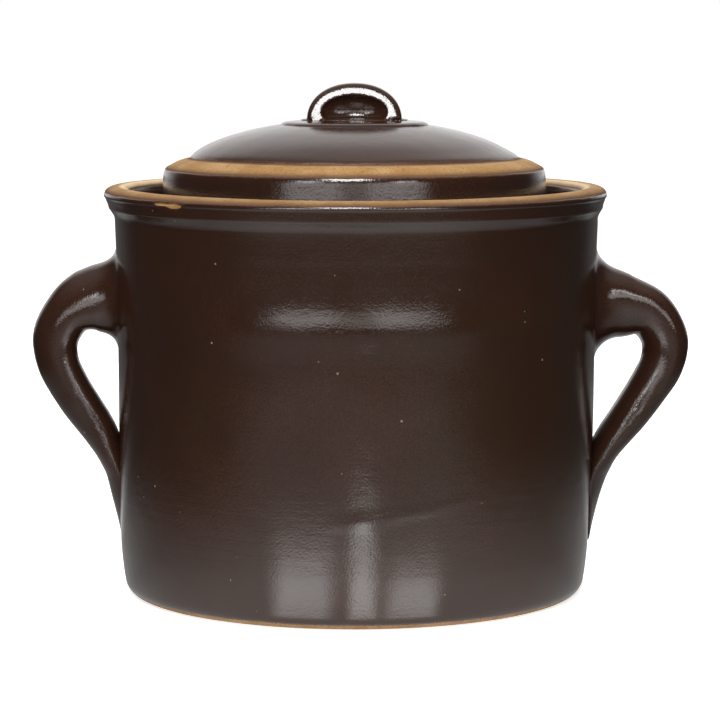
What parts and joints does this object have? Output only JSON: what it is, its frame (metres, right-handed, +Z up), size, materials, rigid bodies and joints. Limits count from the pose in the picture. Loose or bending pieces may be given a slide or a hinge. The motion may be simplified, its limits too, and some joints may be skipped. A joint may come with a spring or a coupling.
{
  "type": "water-seal fermenting crock",
  "caption": "Stoneware fermenting crock with side handles, a water-seal channel inside the rim, a domed cap lid with a grip, and half-moon weighting stones.",
  "frame": {"origin": "centre of the crock's flat underside", "axes": "+Z up along the turning axis; the handles lie along X, the fuller one on +X; the front is -Y"},
  "size_m": [0.307, 0.2342, 0.2372],
  "materials": {
    "brown_glaze": "satin-gloss dark brown stoneware glaze",
    "bare_clay": "matt unglazed tan stoneware"
  },
  "bodies": {
    "crock": {"crock_body": "brown_glaze", "channel_ring": "brown_glaze", "handle_right": "brown_glaze", "handle_left": "brown_glaze"},
    "lid": {"lid_cover": "brown_glaze", "lid_boss": "brown_glaze", "lid_grip": "brown_glaze"},
    "stone_right": {"weight_stone_right": "bare_clay"},
    "stone_left": {"weight_stone_left": "bare_clay"}
  },
  "joints": [
    {"name": "lid_lift", "type": "slide", "parent": "crock", "child": "lid", "axis": [0, 0, 1], "range_m": [0, 0.12]},
    {"name": "stone_right_lift", "type": "slide", "parent": "crock", "child": "stone_right", "axis": [0, 0, 1], "range_m": [0, 0.11]},
    {"name": "stone_left_lift", "type": "slide", "parent": "crock", "child": "stone_left", "axis": [0, 0, 1], "range_m": [0, 0.11]}
  ]
}
